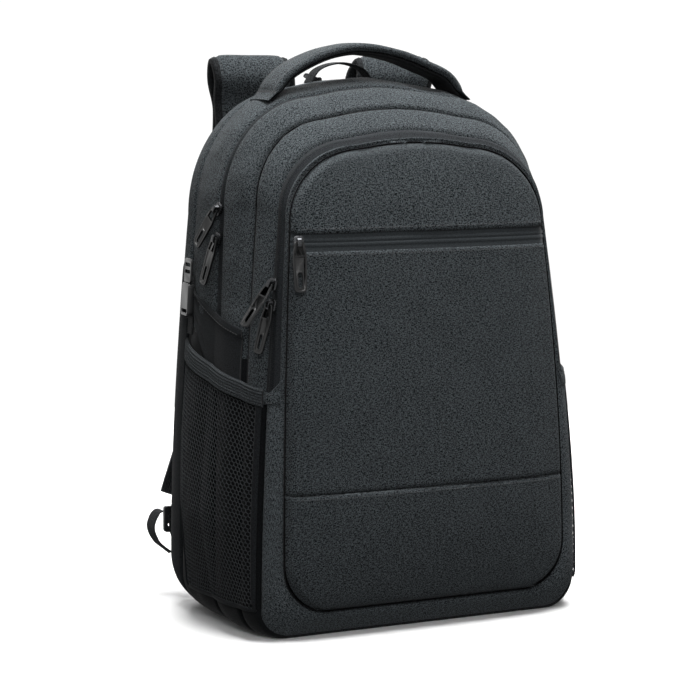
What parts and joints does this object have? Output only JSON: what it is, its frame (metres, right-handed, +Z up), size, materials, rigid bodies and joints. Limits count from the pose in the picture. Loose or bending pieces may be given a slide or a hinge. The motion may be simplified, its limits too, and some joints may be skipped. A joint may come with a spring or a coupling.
{
  "type": "laptop backpack",
  "caption": "Slate grey laptop backpack with arched zips, a front panel with a straight zip, net side pockets, buckled side wings, a padded carry handle and padded shoulder straps.",
  "frame": {"origin": "on the floor, under the middle of the bag body, which stands on its own base", "axes": "+Z up, -Y towards the front panel, +Y towards the shoulder straps, +X to the right of someone facing the front panel"},
  "size_m": [0.3538, 0.252, 0.495],
  "materials": {
    "heather": "matte two-tone slate weave",
    "dark_cloth": "matte dark slate cloth",
    "lining": "matte black lining",
    "air_mesh": "matte black spacer mesh",
    "net": "black open net",
    "elastic": "ribbed black elastic",
    "webbing": "black woven webbing",
    "zip_tape": "smooth dark coated tape",
    "plastic": "satin black plastic",
    "zip_metal": "gunmetal"
  },
  "bodies": {
    "root": {"main_rear_gusset": "heather", "main_front_gusset": "heather", "front_gusset": "heather", "front_border": "heather", "panel_base": "heather", "panel_lower": "heather", "panel_upper": "heather", "carry_handle": "heather", "laptop_gusset": "dark_cloth", "back_panel": "dark_cloth", "side_wing_left": "dark_cloth", "side_wing_right": "dark_cloth", "zip_stop_left": "dark_cloth", "zip_stop_right": "dark_cloth", "shoulder_strap_left": "dark_cloth", "shoulder_strap_right": "dark_cloth", "strap_tab_left": "dark_cloth", "strap_tab_right": "dark_cloth", "laptop_divider": "lining", "front_divider": "lining", "handle_lining": "lining", "back_pad_left": "air_mesh", "back_pad_right": "air_mesh", "lumbar_pad": "air_mesh", "net_pocket_left": "net", "net_pocket_right": "net", "pocket_elastic_left": "elastic", "pocket_elastic_right": "elastic", "hang_loop": "webbing", "buckle_webbing_left": "webbing", "buckle_webbing_right": "webbing", "wing_webbing_left": "webbing", "wing_webbing_right": "webbing", "lower_webbing_left": "webbing", "lower_webbing_right": "webbing", "web_tail_left": "webbing", "web_tail_right": "webbing", "laptop_zip": "zip_tape", "main_zip": "zip_tape", "front_zip": "zip_tape", "panel_zip": "zip_tape", "side_buckle_left": "plastic", "side_buckle_right": "plastic", "side_lock_left": "plastic", "side_lock_right": "plastic", "strap_adjuster_left": "plastic", "strap_adjuster_right": "plastic", "laptop_zip_slider": "zip_metal", "laptop_zip_pull": "zip_metal", "panel_zip_slider": "zip_metal", "panel_zip_pull": "zip_metal", "front_zip_upper_slider": "zip_metal", "front_zip_upper_pull": "zip_metal", "front_zip_lower_slider": "zip_metal", "front_zip_lower_pull": "zip_metal", "main_zip_upper_slider": "zip_metal", "main_zip_upper_pull": "zip_metal", "main_zip_lower_slider": "zip_metal", "main_zip_lower_pull": "zip_metal"}
  },
  "joints": []
}
